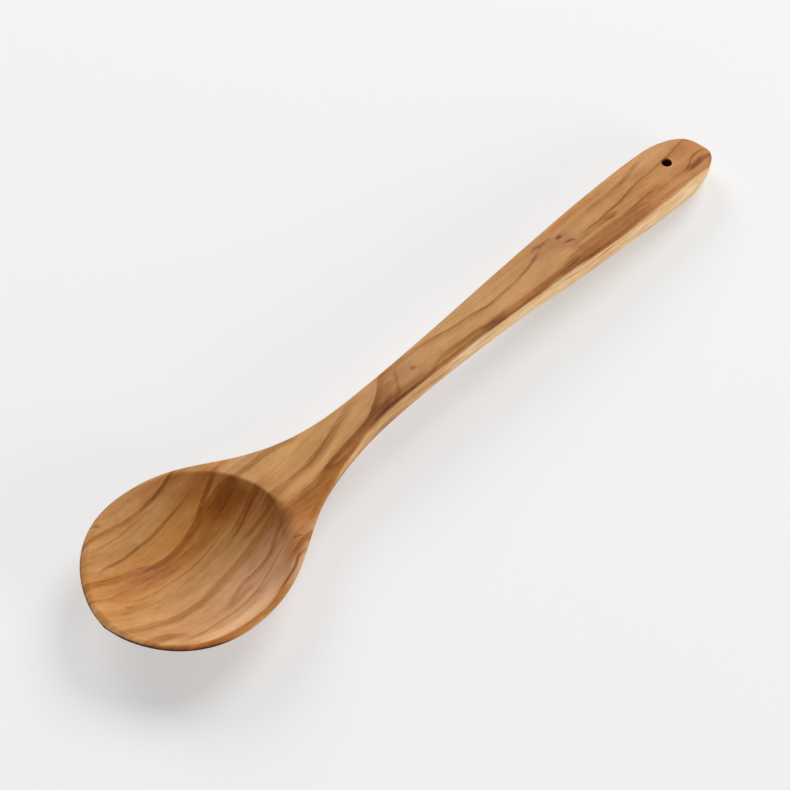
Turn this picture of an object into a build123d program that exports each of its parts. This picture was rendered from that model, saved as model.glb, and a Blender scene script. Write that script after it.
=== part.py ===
from build123d import *
import os

# Wooden spoon carved from one piece of wood: a round bowl with a scooped hollow, shoulders
# that sweep in to a narrow neck, and a handle that widens to a rounded end with a small hole
# to hang it by. Millimetres. The spoon lies bowl up on a table at Z = 0, resting on the back
# of its bowl and on the underside of its handle's end. The handle points along +X, and the
# origin is on the table under the middle of the spoon's length. Places along the spoon are
# measured from the tip of the bowl, and insets from the end of the handle.

# Outline seen from above
spoon_length = 300.0
bowl_width = 70.0
bowl_middle = 37.0
neck_width = 13.2
neck_middle = 134.0
handle_width = 25.2
widest_inset = 24.0

# Heights of the upper surface above the table, and where it has them. The heel is a distance
# behind the middle of the bowl.
tip_height = 19.5
heel_height = 16.0
heel_distance = 41.0
crest_height = 20.6
crest_place = 132.0
handle_end_height = 12.2
nose_length = 8.0

# Underside: the thin lip at the tip, the arch behind the bowl, the rest under the handle, and
# the place along the shoulder where the sides have filled out
tip_lip = 1.6
arch_height = 6.6
arch_place = 168.0
rest_inset = 18.0
full_place = 98.0

# Rounding between the upper surface and the sides
edge_radius = 1.2
end_edge_radius = 1.8

# Hollow of the bowl
bowl_floor = 4.0
side_land = 1.7
tip_land = 2.3
heel_land = 1.9
hollow_edge_radius = 0.8
cutting_overrun = 6.0

# Hole to hang the spoon by, a little off the middle line
hang_hole_diameter = 3.8
hang_hole_inset = 18.6
hang_hole_offset = 2.2
hang_hole_easing = 0.4

# The flat spots left at the tip and at the nose by the first and last sections
end_flat = 0.06

half_length = spoon_length / 2
bowl_half_width = bowl_width / 2
neck_half_width = neck_width / 2
handle_half_width = handle_width / 2
bowl_to_neck = neck_middle - bowl_middle
handle_widest = spoon_length - widest_inset
neck_to_widest = handle_widest - neck_middle


def spot(place, offset):
    """Point of a drawn line: a place along the spoon, and a reach or a height there."""
    return (place - half_length, offset)


# Half of the outline: round the bowl, in along the shoulder, out along the handle, and round
# the end. Each curve leaves and arrives along the spoon or square to it, and its shares say
# how far it holds that direction. Those of the bowl are shares of its half width.
bowl_round_shares = (0.30, 0.296)
shoulder_shares = (0.37, 0.62)
flare_shares = (0.28, 0.20)
end_round_shares = (0.60, 0.60)

with BuildLine(Plane.XY) as outline:
    Bezier(
        spot(0, 0),
        spot(0, bowl_round_shares[0] * bowl_half_width),
        spot(bowl_round_shares[1] * bowl_half_width, bowl_half_width),
        spot(bowl_middle, bowl_half_width),
    )
    Bezier(
        spot(bowl_middle, bowl_half_width),
        spot(bowl_middle + shoulder_shares[0] * bowl_to_neck, bowl_half_width),
        spot(neck_middle - shoulder_shares[1] * bowl_to_neck, neck_half_width),
        spot(neck_middle, neck_half_width),
    )
    Bezier(
        spot(neck_middle, neck_half_width),
        spot(neck_middle + flare_shares[0] * neck_to_widest, neck_half_width),
        spot(handle_widest - flare_shares[1] * neck_to_widest, handle_half_width),
        spot(handle_widest, handle_half_width),
    )
    Bezier(
        spot(handle_widest, handle_half_width),
        spot(handle_widest + end_round_shares[0] * widest_inset, handle_half_width),
        spot(spoon_length, end_round_shares[1] * handle_half_width),
        spot(spoon_length, 0),
    )

# Upper surface along the middle line: the rim dips to the heel, climbs to a crest over the
# neck, falls along the handle and rolls over at the nose
rim_dip_shares = (0.50, 0.20)
heel_rise_shares = (0.53, 0.27)
handle_fall_shares = (0.78, 0.15)
heel_place = bowl_middle + heel_distance
heel_to_crest = crest_place - heel_place
nose_start = spoon_length - nose_length
crest_to_nose = nose_start - crest_place
nose_tip_height = handle_end_height / 2

with BuildLine(Plane.XZ) as upper_line:
    Bezier(
        spot(0, tip_height),
        spot(rim_dip_shares[0] * heel_place, tip_height),
        spot((1 - rim_dip_shares[1]) * heel_place, heel_height),
        spot(heel_place, heel_height),
    )
    Bezier(
        spot(heel_place, heel_height),
        spot(heel_place + heel_rise_shares[0] * heel_to_crest, heel_height),
        spot(crest_place - heel_rise_shares[1] * heel_to_crest, crest_height),
        spot(crest_place, crest_height),
    )
    Bezier(
        spot(crest_place, crest_height),
        spot(crest_place + handle_fall_shares[0] * crest_to_nose, crest_height),
        spot(nose_start - handle_fall_shares[1] * crest_to_nose, handle_end_height),
        spot(nose_start, handle_end_height),
    )
    Bezier(
        spot(nose_start, handle_end_height),
        spot(spoon_length, handle_end_height),
        spot(spoon_length, nose_tip_height),
    )

# Underside along the middle line: down round the bowl, along the keel to the arch, back to
# the table under the handle's end, and up round the nose
belly_along_shares = (0.30, 0.62)
belly_height_share = 0.30
keel_shares = (0.32, 0.38)
grip_shares = (0.42, 0.75)
rest_place = spoon_length - rest_inset
bowl_to_arch = arch_place - bowl_middle
arch_to_rest = rest_place - arch_place

with BuildLine(Plane.XZ) as under_line:
    Bezier(
        spot(0, tip_height - tip_lip),
        spot(belly_along_shares[0] * bowl_middle, belly_height_share * tip_height),
        spot(belly_along_shares[1] * bowl_middle, 0),
        spot(bowl_middle, 0),
    )
    Bezier(
        spot(bowl_middle, 0),
        spot(bowl_middle + keel_shares[0] * bowl_to_arch, 0),
        spot(arch_place - keel_shares[1] * bowl_to_arch, arch_height),
        spot(arch_place, arch_height),
    )
    Bezier(
        spot(arch_place, arch_height),
        spot(arch_place + grip_shares[0] * arch_to_rest, arch_height),
        spot(rest_place - grip_shares[1] * arch_to_rest, 0),
        spot(rest_place, 0),
    )
    Bezier(
        spot(rest_place, 0),
        spot(spoon_length, 0),
        spot(spoon_length, nose_tip_height),
    )


def crossing(line, place):
    """Point where a drawn line passes a place along the spoon."""
    return line.line.intersect(Plane.YZ.offset(place - half_length))[0].center()


def ease(start, end, share):
    """Value that leaves start and arrives at end without a corner."""
    share = min(max(share, 0), 1)
    return start + (end - start) * share * share * (3 - 2 * share)


# Shape of a cross section below its edge, first at the bowl and then past the shoulder: how far
# the side draws in, how far down it does so, and how wide the underside stays flat
undercut_shares = (0.23, 0.04)
side_drop_shares = (0.63, 0.75)
flat_shares = (0.40, 0.75)
edge_limit_share = 0.4


def section(place):
    """Cross section of the uncut spoon: a flat top, rounded edges and a full underside."""
    reach = crossing(outline, place).Y
    top = crossing(upper_line, place).Z
    bottom = crossing(under_line, place).Z
    shoulder = (place - bowl_middle) / bowl_to_neck
    undercut = ease(*undercut_shares, shoulder)
    filling = (place - bowl_middle) / (full_place - bowl_middle)
    side_drop = ease(*side_drop_shares, filling)
    flat = ease(*flat_shares, filling)
    wanted_radius = ease(edge_radius, end_edge_radius, (place - neck_middle) / neck_to_widest)
    radius = min(wanted_radius, edge_limit_share * reach, edge_limit_share * (top - bottom))
    side_top = top - radius
    side_low = side_top - side_drop * (side_top - bottom)
    with BuildSketch(Plane.YZ.offset(place - half_length)) as face:
        with BuildLine():
            upper = Line((radius - reach, top), (reach - radius, top))
            edge = Bezier(upper @ 1, (reach, top), (reach, side_top))
            side = Bezier(
                edge @ 1,
                ((1 - undercut) * reach, side_low),
                (flat * reach, bottom),
                (0, bottom),
            )
            far_side = Bezier(
                side @ 1,
                (-flat * reach, bottom),
                ((undercut - 1) * reach, side_low),
                (-reach, side_top),
            )
            Bezier(far_side @ 1, (-reach, top), upper @ 0)
        make_face()
    return face.sketch


# Places of the sections, evenly spread along the shoulder and the handle and crowded where
# the bowl and the handle's end round over
bowl_station_shares = (0.016, 0.07, 0.16, 0.30, 0.49, 0.73)
shoulder_steps = 10
handle_steps = 12
end_station_shares = (0, 0.33, 0.58, 0.78, 0.92, 0.985)

stations = [end_flat]
stations += [share * bowl_middle for share in bowl_station_shares]
stations += [bowl_middle + step / shoulder_steps * bowl_to_neck for step in range(shoulder_steps)]
stations += [neck_middle + step / handle_steps * neck_to_widest for step in range(handle_steps)]
stations += [handle_widest + share * widest_inset for share in end_station_shares]
stations += [spoon_length - end_flat]
sections = [section(place) for place in stations]

# Scoop that cuts the hollow: a shallow round dish about its own axis, stretched along the
# spoon and tipped so that its mouth lies on the rim from the tip to the heel
hollow_start = tip_land
hollow_end = heel_place - heel_land
hollow_middle = (hollow_start + hollow_end) / 2
hollow_half_width = bowl_half_width - side_land
hollow_stretch = (hollow_end - hollow_start) / 2 / hollow_half_width
mouth_front = crossing(upper_line, hollow_start)
mouth_back = crossing(upper_line, hollow_end)
mouth_middle = (mouth_front + mouth_back) / 2
mouth_line = mouth_back - mouth_front
mouth_tilt = Vector(1, 0, 0).get_signed_angle(mouth_line, Vector(0, 1, 0))
hollow_depth = mouth_middle.Z - bowl_floor

with BuildPart() as scoop:
    with BuildSketch(Plane.XZ):
        with BuildLine():
            dish = RadiusArc(
                (0, -hollow_depth),
                (hollow_half_width, 0),
                -(hollow_half_width**2 + hollow_depth**2) / (2 * hollow_depth),
            )
            wall = Line(dish @ 1, dish @ 1 + cutting_overrun * (dish % 1))
            Polyline(wall @ 1, (0, (wall @ 1).Y), dish @ 0)
        make_face()
    revolve(axis=Axis.Z)
    scale(by=(hollow_stretch, 1, 1))

with BuildPart() as spoon:
    loft(sections)
    with Locations(Location(mouth_middle, (0, mouth_tilt, 0))):
        add(scoop.part, mode=Mode.SUBTRACT)
    fillet(spoon.edges(Select.LAST), hollow_edge_radius)
    hole_place = spoon_length - hang_hole_inset
    with Locations(spot(hole_place, hang_hole_offset)):
        Hole(hang_hole_diameter / 2)
    chamfer(spoon.edges(Select.LAST), hang_hole_easing)
spoon.part.label = "spoon"

os.makedirs("parts", exist_ok=True)
export_step(spoon.part, "parts/spoon.step")
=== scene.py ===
"""A wooden spoon carved from one piece of olive wood, bowl up on a pale studio floor."""

import logging
import math
from dataclasses import dataclass, fields
from enum import Enum
from typing import Any, Mapping, Optional, Sequence, Union

import bpy
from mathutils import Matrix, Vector


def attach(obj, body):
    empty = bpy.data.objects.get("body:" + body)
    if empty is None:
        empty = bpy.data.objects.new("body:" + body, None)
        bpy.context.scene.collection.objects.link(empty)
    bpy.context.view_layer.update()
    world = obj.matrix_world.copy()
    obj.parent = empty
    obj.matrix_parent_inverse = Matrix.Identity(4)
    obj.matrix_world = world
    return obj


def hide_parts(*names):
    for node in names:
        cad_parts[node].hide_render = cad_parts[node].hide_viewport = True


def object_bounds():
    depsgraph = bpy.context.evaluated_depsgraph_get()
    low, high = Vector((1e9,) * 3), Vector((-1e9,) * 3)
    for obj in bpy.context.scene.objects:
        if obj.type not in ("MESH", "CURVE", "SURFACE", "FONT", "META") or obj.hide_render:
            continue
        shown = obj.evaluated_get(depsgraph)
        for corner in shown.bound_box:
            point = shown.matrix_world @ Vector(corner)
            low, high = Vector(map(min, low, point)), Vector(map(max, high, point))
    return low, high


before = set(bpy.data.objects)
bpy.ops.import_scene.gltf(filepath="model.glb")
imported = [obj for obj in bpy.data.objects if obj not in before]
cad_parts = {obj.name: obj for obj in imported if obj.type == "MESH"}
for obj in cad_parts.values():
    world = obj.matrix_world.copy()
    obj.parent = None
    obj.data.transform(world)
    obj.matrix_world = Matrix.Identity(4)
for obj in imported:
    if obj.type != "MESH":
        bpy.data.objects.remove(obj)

cad_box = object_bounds()

log = logging.getLogger("wooden_spoon")

MM = 0.001

Colour = tuple[float, float, float, float]
Pair = tuple[float, float]
Term = Union["Wire", float]
Point = tuple[Term, Term]
Curve = tuple[Point, Point, Point, Point]


def linear(red: int, green: int, blue: int) -> Colour:
    """Turn a screen colour into the light that a shader works with.

    Args:
        red: Red from 0 to 255.
        green: Green from 0 to 255.
        blue: Blue from 0 to 255.

    Returns:
        The linear colour with an alpha of one.
    """
    def channel(value: int) -> float:
        """Undo the screen's curve for one channel."""
        share = value / 255
        return share / 12.92 if share <= 0.04045 else ((share + 0.055) / 1.055) ** 2.4
    return (channel(red), channel(green), channel(blue), 1.0)


class Wire:
    """A value that runs through a node tree. Arithmetic on it adds Math nodes to the tree."""

    def __init__(self, graph: "Graph", socket: bpy.types.NodeSocket) -> None:
        """Keep the tree and the socket that the value comes from."""
        self.graph = graph
        self.socket = socket

    def __add__(self, other: Term) -> "Wire":
        """Add a value."""
        return self.graph.math("ADD", self, other)

    def __radd__(self, other: Term) -> "Wire":
        """Add to a value."""
        return self.graph.math("ADD", other, self)

    def __sub__(self, other: Term) -> "Wire":
        """Take a value away."""
        return self.graph.math("SUBTRACT", self, other)

    def __rsub__(self, other: Term) -> "Wire":
        """Be taken away from a value."""
        return self.graph.math("SUBTRACT", other, self)

    def __mul__(self, other: Term) -> "Wire":
        """Multiply by a value."""
        return self.graph.math("MULTIPLY", self, other)

    def __rmul__(self, other: Term) -> "Wire":
        """Multiply a value."""
        return self.graph.math("MULTIPLY", other, self)

    def __truediv__(self, other: Term) -> "Wire":
        """Divide by a value."""
        return self.graph.math("DIVIDE", self, other)

    def __rtruediv__(self, other: Term) -> "Wire":
        """Divide a value."""
        return self.graph.math("DIVIDE", other, self)

    def __pow__(self, other: Term) -> "Wire":
        """Raise to a power."""
        return self.graph.math("POWER", self, other)

    def __neg__(self) -> "Wire":
        """Turn the sign round."""
        return self.graph.math("MULTIPLY", self, -1.0)

    def __abs__(self) -> "Wire":
        """Drop the sign."""
        return self.graph.math("ABSOLUTE", self)

    def __gt__(self, other: Term) -> "Wire":
        """Give one where this value is the greater, and else zero."""
        return self.graph.math("GREATER_THAN", self, other)

    def __lt__(self, other: Term) -> "Wire":
        """Give one where this value is the smaller, and else zero."""
        return self.graph.math("LESS_THAN", self, other)


def find(sockets: Sequence[bpy.types.NodeSocket], name: Union[str, int]) -> bpy.types.NodeSocket:
    """Find a socket of a node.

    Args:
        sockets: The node's inputs or outputs.
        name: The name of an enabled one, or the number of any.

    Returns:
        The socket.
    """
    if isinstance(name, int):
        return sockets[name]
    return next(socket for socket in sockets if socket.name == name and socket.enabled)


class Outputs:
    """The outputs of one node, looked up by their names."""

    def __init__(self, graph: "Graph", node: bpy.types.Node) -> None:
        """Keep the tree and the node."""
        self.graph = graph
        self.node = node

    def __getitem__(self, name: Union[str, int]) -> Wire:
        """Give the enabled output of that name, or the output of that number."""
        return Wire(self.graph, find(self.node.outputs, name))


class Graph:
    """A node tree that is written as expressions."""

    def __init__(self, tree: bpy.types.NodeTree) -> None:
        """Start from an empty tree."""
        self.tree = tree
        tree.nodes.clear()

    def node(
        self,
        kind: str,
        settings: Optional[Mapping[str, Any]] = None,
        sockets: Optional[Mapping[Union[str, int], Any]] = None,
    ) -> Outputs:
        """Add a node.

        Args:
            kind: The node's type.
            settings: Its properties, set before its sockets; "stops" gives a ramp's stops,
                "points" the points of a drawn curve and "captured" a value that is held.
            sockets: A value, a wire or a list of wires for each named or numbered input.

        Returns:
            The node's outputs.
        """
        node = self.tree.nodes.new(kind)
        for name, value in (settings or {}).items():
            if name == "stops":
                self._set_stops(node.color_ramp, value)
            elif name == "points":
                self._set_points(node.mapping, value)
            elif name == "captured":
                node.capture_items.new(*value)
            else:
                setattr(node, name, value)
        for name, value in (sockets or {}).items():
            socket = find(node.inputs, name)
            for item in value if isinstance(value, list) else [value]:
                if isinstance(item, Wire):
                    self.tree.links.new(item.socket, socket)
                else:
                    socket.default_value = item
        return Outputs(self, node)

    @staticmethod
    def _set_stops(ramp: bpy.types.ColorRamp, stops: Sequence[tuple[float, Colour]]) -> None:
        """Give a colour ramp its stops.

        Args:
            ramp: The ramp.
            stops: The place and the colour of each, from left to right.
        """
        while len(ramp.elements) > 1:
            ramp.elements.remove(ramp.elements[-1])
        ramp.elements[0].position, ramp.elements[0].color = stops[0]
        for place, colour in stops[1:]:
            ramp.elements.new(place).color = colour

    @staticmethod
    def _set_points(mapping: bpy.types.CurveMapping, points: Sequence[Pair]) -> None:
        """Draw a curve through points, level past its ends.

        Args:
            mapping: The node's curve.
            points: The points from left to right, between zero and one.
        """
        mapping.extend = "HORIZONTAL"
        curve = mapping.curves[0]
        while len(curve.points) < len(points):
            curve.points.new(0.5, 0.5)
        for point, place in zip(curve.points, points):
            point.location = place
            point.handle_type = "AUTO_CLAMPED"
        mapping.update()

    def math(self, operation: str, *terms: Term, clamp: bool = False) -> Wire:
        """Add a Math node for up to three values, clamped to zero and one if that is asked."""
        settings = {"operation": operation, "use_clamp": clamp}
        return self.node("ShaderNodeMath", settings, dict(enumerate(terms)))[0]

    def least(self, first: Term, second: Term) -> Wire:
        """Give the smaller of two values."""
        return self.math("MINIMUM", first, second)

    def most(self, first: Term, second: Term) -> Wire:
        """Give the larger of two values."""
        return self.math("MAXIMUM", first, second)

    def root(self, value: Term) -> Wire:
        """Give the square root, and zero for a value below zero."""
        return self.math("SQRT", self.most(value, 0.0))

    def held(self, value: Term) -> Wire:
        """Keep a value between zero and one."""
        return self.math("ADD", value, 0.0, clamp=True)

    def eased(
        self, value: Term, start: Term, end: Term, low: Term = 0.0, high: Term = 1.0
    ) -> Wire:
        """Go from one result to another without a corner.

        Args:
            value: The value that is followed.
            start: Where the result begins to change.
            end: Where it has changed.
            low: The result before the start.
            high: The result past the end.

        Returns:
            The eased result.
        """
        settings = {"interpolation_type": "SMOOTHSTEP"}
        return self.node("ShaderNodeMapRange", settings, {
            "Value": value, "From Min": start, "From Max": end, "To Min": low, "To Max": high,
        })["Result"]

    def vector(self, x: Term, y: Term, z: Term) -> Wire:
        """Put three values together."""
        return self.node("ShaderNodeCombineXYZ", None, {0: x, 1: y, 2: z})[0]

    def parts(self, vector: Wire) -> tuple[Wire, Wire, Wire]:
        """Take a vector apart."""
        made = self.node("ShaderNodeSeparateXYZ", None, {0: vector})
        return made[0], made[1], made[2]

    def blend(self, share: Term, first: Any, second: Any, way: str = "MIX") -> Wire:
        """Mix two colours.

        Args:
            share: How much of the second shows.
            first: The colour below.
            second: The colour laid over it.
            way: How the second is laid over the first.

        Returns:
            The mixed colour.
        """
        settings = {"data_type": "RGBA", "blend_type": way, "clamp_factor": True}
        sockets = {"Factor": share, "A": first, "B": second}
        return self.node("ShaderNodeMix", settings, sockets)["Result"]


@dataclass(frozen=True)
class SpoonSizes:
    """Sizes of the carved form, in millimetres. Places are measured from the tip of the bowl."""

    spoon_length: float = 300.0
    bowl_width: float = 70.0
    bowl_middle: float = 37.0
    neck_width: float = 13.2
    neck_middle: float = 134.0
    handle_width: float = 25.2
    handle_widest: float = 276.0
    tip_height: float = 19.5
    heel_height: float = 16.0
    heel_place: float = 78.0
    crest_height: float = 20.6
    crest_place: float = 132.0
    handle_end_height: float = 12.2
    nose_length: float = 8.0
    tip_lip: float = 1.6
    arch_height: float = 6.6
    arch_place: float = 168.0
    rest_place: float = 282.0
    full_place: float = 98.0
    edge_radius: float = 1.2
    end_edge_radius: float = 1.8
    bowl_floor: float = 4.0
    side_land: float = 1.7
    tip_land: float = 2.3
    heel_land: float = 1.9
    rim_softness: float = 0.5
    heel_softness: float = 2.2
    hole_diameter: float = 3.8
    hole_inset: float = 18.6
    hole_offset: float = 2.2
    hole_easing: float = 0.45
    end_flat: float = 0.07
    carving_unevenness: float = 0.16


@dataclass(frozen=True)
class FormShares:
    """Shares that shape the drawn lines and the cross sections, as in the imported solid.

    A pair says how far a curve holds the direction in which it leaves, and in which it arrives,
    or gives a share at the start and at the end of a stretch.
    """

    bowl_round: Pair = (0.30, 0.28)
    shoulder: Pair = (0.37, 0.62)
    flare: Pair = (0.28, 0.20)
    end_round: Pair = (0.60, 0.60)
    rim_dip: Pair = (0.50, 0.20)
    heel_rise: Pair = (0.53, 0.27)
    handle_fall: Pair = (0.78, 0.15)
    belly_along: Pair = (0.30, 0.62)
    belly_height: float = 0.30
    keel: Pair = (0.32, 0.38)
    grip: Pair = (0.42, 0.75)
    undercut: Pair = (0.23, 0.04)
    side_drop: Pair = (0.63, 0.75)
    flat: Pair = (0.40, 0.75)
    edge_limit: float = 0.4


class Stretch(Enum):
    """Stretches of the carved form's grid, with the steps that each one gets."""

    TIP = 16
    HOLLOW = 180
    HANDLE = 150
    HOLE = 32
    NOSE = 42
    SCOOP = 44
    LAND = 12
    EDGE = 8
    SIDE = 38
    BORE = 6


ALONG = (Stretch.TIP, Stretch.HOLLOW, Stretch.HANDLE, Stretch.HOLE, Stretch.NOSE)
AROUND = (Stretch.SCOOP, Stretch.LAND, Stretch.EDGE, Stretch.SIDE, Stretch.BORE)


def steps(stretches: Sequence[Stretch]) -> int:
    """Count the steps of some stretches."""
    return sum(stretch.value for stretch in stretches)


@dataclass(frozen=True)
class Scoop:
    """The round dish that cuts the hollow, stretched along the spoon and tipped.

    Its middle is a place and its mouth a height. The cosine and the sine are those of its tilt,
    and the dish is the radius of its round.
    """

    middle: Wire
    mouth: Wire
    cosine: Wire
    sine: Wire
    half_length: Wire
    spread: Wire
    depth: Wire
    dish: Wire


class SpoonForm:
    """The rule that carves the spoon's shape, written as a geometry node tree."""

    # How finely a drawn line is cut, the height of its strip, and what closes the middle seam
    LINE_POINTS = 300
    STRIP = 0.01
    MERGE = 1e-6
    # How the columns crowd towards the rim, the edge and the underside
    SCOOP_CROWDING = 1.8
    LAND_CROWDING = 2.0
    SIDE_CROWDING = 1.5
    # Limits that keep a division safe, and a distance that no softening of the rim reaches
    SMALLEST_RING = 1e-5
    SMALLEST_SLOPE = 0.1
    FAR_FROM_RIM = 0.05
    # Where the heel softens: shares of its place, and the side of the spoon in metres
    SOFT_HEEL = (0.62, 0.95)
    SOFT_SIDE = (0.002, -0.014)
    # How far round the hanging hole the wood slides with it, in bores, and how near to the edge
    SLIDE_SPAN = (1.4, 4.6)
    SLIDE_REACH = 0.94
    # The worn far corner: how much, how gently across, and where, in half widths from the end
    CORNER_WEAR = 0.24
    WEAR_SPREAD = 0.35
    WEAR_SPAN = (1.6, 0.2)
    # The knife's slight hollows
    KNIFE_SEED = 4.7
    KNIFE_SCALE = 42.0
    KNIFE_DETAIL = 1.0
    KNIFE_ROUGHNESS = 0.4

    def __init__(self, sizes: SpoonSizes, material: bpy.types.Material) -> None:
        """Make the empty tree with its inputs.

        Args:
            sizes: The sizes of the form.
            material: The finish that is laid on it.
        """
        self.sizes = sizes
        self.shares = FormShares()
        self.material = material
        self.tree = bpy.data.node_groups.new("carved_spoon_rule", "GeometryNodeTree")
        self.graph = Graph(self.tree)
        self.sockets: dict[str, str] = {}
        for size in fields(sizes):
            self.sockets[size.name] = self._add_input(size.name, "NodeSocketFloat")
        self.sockets["material"] = self._add_input("material", "NodeSocketMaterial")
        self.tree.interface.new_socket(
            "Geometry", in_out="OUTPUT", socket_type="NodeSocketGeometry"
        )
        self.given = self.graph.node("NodeGroupInput")

    def _add_input(self, name: str, kind: str) -> str:
        """Add a named input to the tree and give its identifier."""
        title = name.replace("_", " ").capitalize()
        return self.tree.interface.new_socket(title, in_out="INPUT", socket_type=kind).identifier

    def size(self, name: str) -> Wire:
        """Give one of the named inputs."""
        return self.given[name.replace("_", " ").capitalize()]

    def take(self, *names: str) -> list[Wire]:
        """Give several of the named inputs."""
        return [self.size(name) for name in names]

    def position(self) -> tuple[Wire, Wire, Wire]:
        """Give where each point lies."""
        return self.graph.parts(self.graph.node("GeometryNodeInputPosition")["Position"])

    def moved(self, geometry: Wire, place: Wire, way: str = "Position") -> Wire:
        """Move each point of a mesh to a place, or by an offset."""
        sockets = {"Geometry": geometry, way: place}
        return self.graph.node("GeometryNodeSetPosition", None, sockets)["Geometry"]

    def strip(self, *curves: Curve) -> Wire:
        """Draw a line of joined curves and give it some height, so that rays can meet it.

        Args:
            curves: The four control points of each curve, as a place and a value there.

        Returns:
            The upright strip.
        """
        g = self.graph
        drawn = []
        for points in curves:
            names = ("Start", "Start Handle", "End Handle", "End")
            sockets = {name: g.vector(*point, -self.STRIP) for name, point in zip(names, points)}
            sockets["Resolution"] = self.LINE_POINTS
            kind = "GeometryNodeCurvePrimitiveBezierSegment"
            drawn.append(g.node(kind, {"mode": "POSITION"}, sockets)["Curve"])
        joined = g.node("GeometryNodeJoinGeometry", None, {"Geometry": drawn})["Geometry"]
        edges = g.node("GeometryNodeCurveToMesh", None, {"Curve": joined})["Mesh"]
        rise = g.vector(0.0, 0.0, 2 * self.STRIP)
        sockets = {"Mesh": edges, "Offset": rise, "Offset Scale": 1.0}
        return g.node("GeometryNodeExtrudeMesh", {"mode": "EDGES"}, sockets)["Mesh"]

    def reading(self, strip: Wire, along: Term) -> Wire:
        """Read a drawn line's value.

        Args:
            strip: The line's upright strip.
            along: The place along the spoon.

        Returns:
            The line's value there.
        """
        sockets = {
            "Target Geometry": strip,
            "Source Position": self.graph.vector(along, -self.STRIP, 0.0),
            "Ray Direction": self.graph.vector(0.0, 1.0, 0.0),
            "Ray Length": 1.0,
        }
        return self.graph.node("GeometryNodeRaycast", None, sockets)["Hit Distance"] - self.STRIP

    @staticmethod
    def level(start: Point, end: Point, shares: Pair) -> Curve:
        """Draw a curve that leaves and arrives along the spoon.

        Args:
            start: Its first point.
            end: Its last point.
            shares: How far it holds its direction at the start and at the end.

        Returns:
            Its four control points.
        """
        span = end[0] - start[0]
        leaving = (start[0] + shares[0] * span, start[1])
        return start, leaving, (end[0] - shares[1] * span, end[1]), end

    @staticmethod
    def rounded(start: Point, corner: Point, end: Point) -> Curve:
        """Draw a curve that rounds a corner.

        Args:
            start: Its first point.
            corner: The corner that it rounds.
            end: Its last point.

        Returns:
            Its four control points.
        """
        def towards(point: Point) -> Point:
            """Give the point two thirds of the way from an end to the corner."""
            x, z = point
            return x + (corner[0] - x) * (2 / 3), z + (corner[1] - z) * (2 / 3)
        return start, towards(start), towards(end), end

    def outline(self) -> Wire:
        """Draw half of the outline: the bowl, the shoulder, the handle and its round end.

        Returns:
            The line's strip.
        """
        shares = self.shares
        middle, neck, widest = self.take("bowl_middle", "neck_middle", "handle_widest")
        widths = self.take("bowl_width", "neck_width", "handle_width")
        bowl, waist, grip = (width / 2 for width in widths)
        length = self.size("spoon_length")
        (rise, hold), (run, turn) = shares.bowl_round, shares.end_round
        return self.strip(
            ((0.0, 0.0), (0.0, rise * bowl), (hold * middle, bowl), (middle, bowl)),
            self.level((middle, bowl), (neck, waist), shares.shoulder),
            self.level((neck, waist), (widest, grip), shares.flare),
            (
                (widest, grip), (widest + run * (length - widest), grip),
                (length, turn * grip), (length, 0.0),
            ),
        )

    def upper_line(self) -> Wire:
        """Draw the upper surface along the middle: rim, heel, crest, handle and nose.

        Returns:
            The line's strip.
        """
        shares = self.shares
        heel, crest, length = self.take("heel_place", "crest_place", "spoon_length")
        tip_height, heel_height = self.take("tip_height", "heel_height")
        crest_height, end_height = self.take("crest_height", "handle_end_height")
        nose = length - self.size("nose_length")
        return self.strip(
            self.level((0.0, tip_height), (heel, heel_height), shares.rim_dip),
            self.level((heel, heel_height), (crest, crest_height), shares.heel_rise),
            self.level((crest, crest_height), (nose, end_height), shares.handle_fall),
            self.rounded((nose, end_height), (length, end_height), (length, end_height / 2)),
        )

    def under_line(self) -> Wire:
        """Draw the underside along the middle: belly, keel, arch, rest and nose.

        Returns:
            The line's strip.
        """
        shares = self.shares
        middle, arch, rest = self.take("bowl_middle", "arch_place", "rest_place")
        length, tip_height, tip_lip = self.take("spoon_length", "tip_height", "tip_lip")
        arch_height = self.size("arch_height")
        nose_height = self.size("handle_end_height") / 2
        down, out = shares.belly_along
        return self.strip(
            (
                (0.0, tip_height - tip_lip), (down * middle, shares.belly_height * tip_height),
                (out * middle, 0.0), (middle, 0.0),
            ),
            self.level((middle, 0.0), (arch, arch_height), shares.keel),
            self.level((arch, arch_height), (rest, 0.0), shares.grip),
            self.rounded((rest, 0.0), (length, 0.0), (length, nose_height)),
        )

    def progress(self, count: Wire, stretches: Sequence[Stretch], stretch: Stretch) -> Wire:
        """Give the share of a stretch before a grid line, zero at its start, one at its end."""
        first = float(steps(stretches[:stretches.index(stretch)]))
        return self.graph.math("MULTIPLY", count - first, 1 / stretch.value, clamp=True)

    def crowded(self, value: Wire) -> Wire:
        """Crowd even steps towards both ends of a stretch."""
        return 0.5 - 0.5 * self.graph.math("COSINE", value * math.pi)

    def stations(self, row: Wire, bounds: Sequence[Term]) -> Wire:
        """Place the rows of the grid along the spoon, crowded at both ends of each stretch.

        Args:
            row: The number of the row.
            bounds: Where the first stretch begins, and where each one ends.

        Returns:
            The place of the row.
        """
        along: Term = bounds[0]
        for stretch, start, end in zip(ALONG, bounds, bounds[1:]):
            along = along + (end - start) * self.crowded(self.progress(row, ALONG, stretch))
        return along

    def kept(self, geometry: Wire, value: Wire) -> tuple[Wire, Wire]:
        """Hold a value on the points, so that moving them doesn't change it.

        Args:
            geometry: The mesh.
            value: The value on its points.

        Returns:
            The mesh and the held value.
        """
        settings = {"captured": ("FLOAT", "Value")}
        made = self.graph.node("GeometryNodeCaptureAttribute", settings, {0: geometry, 1: value})
        return made[0], made[1]

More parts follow.
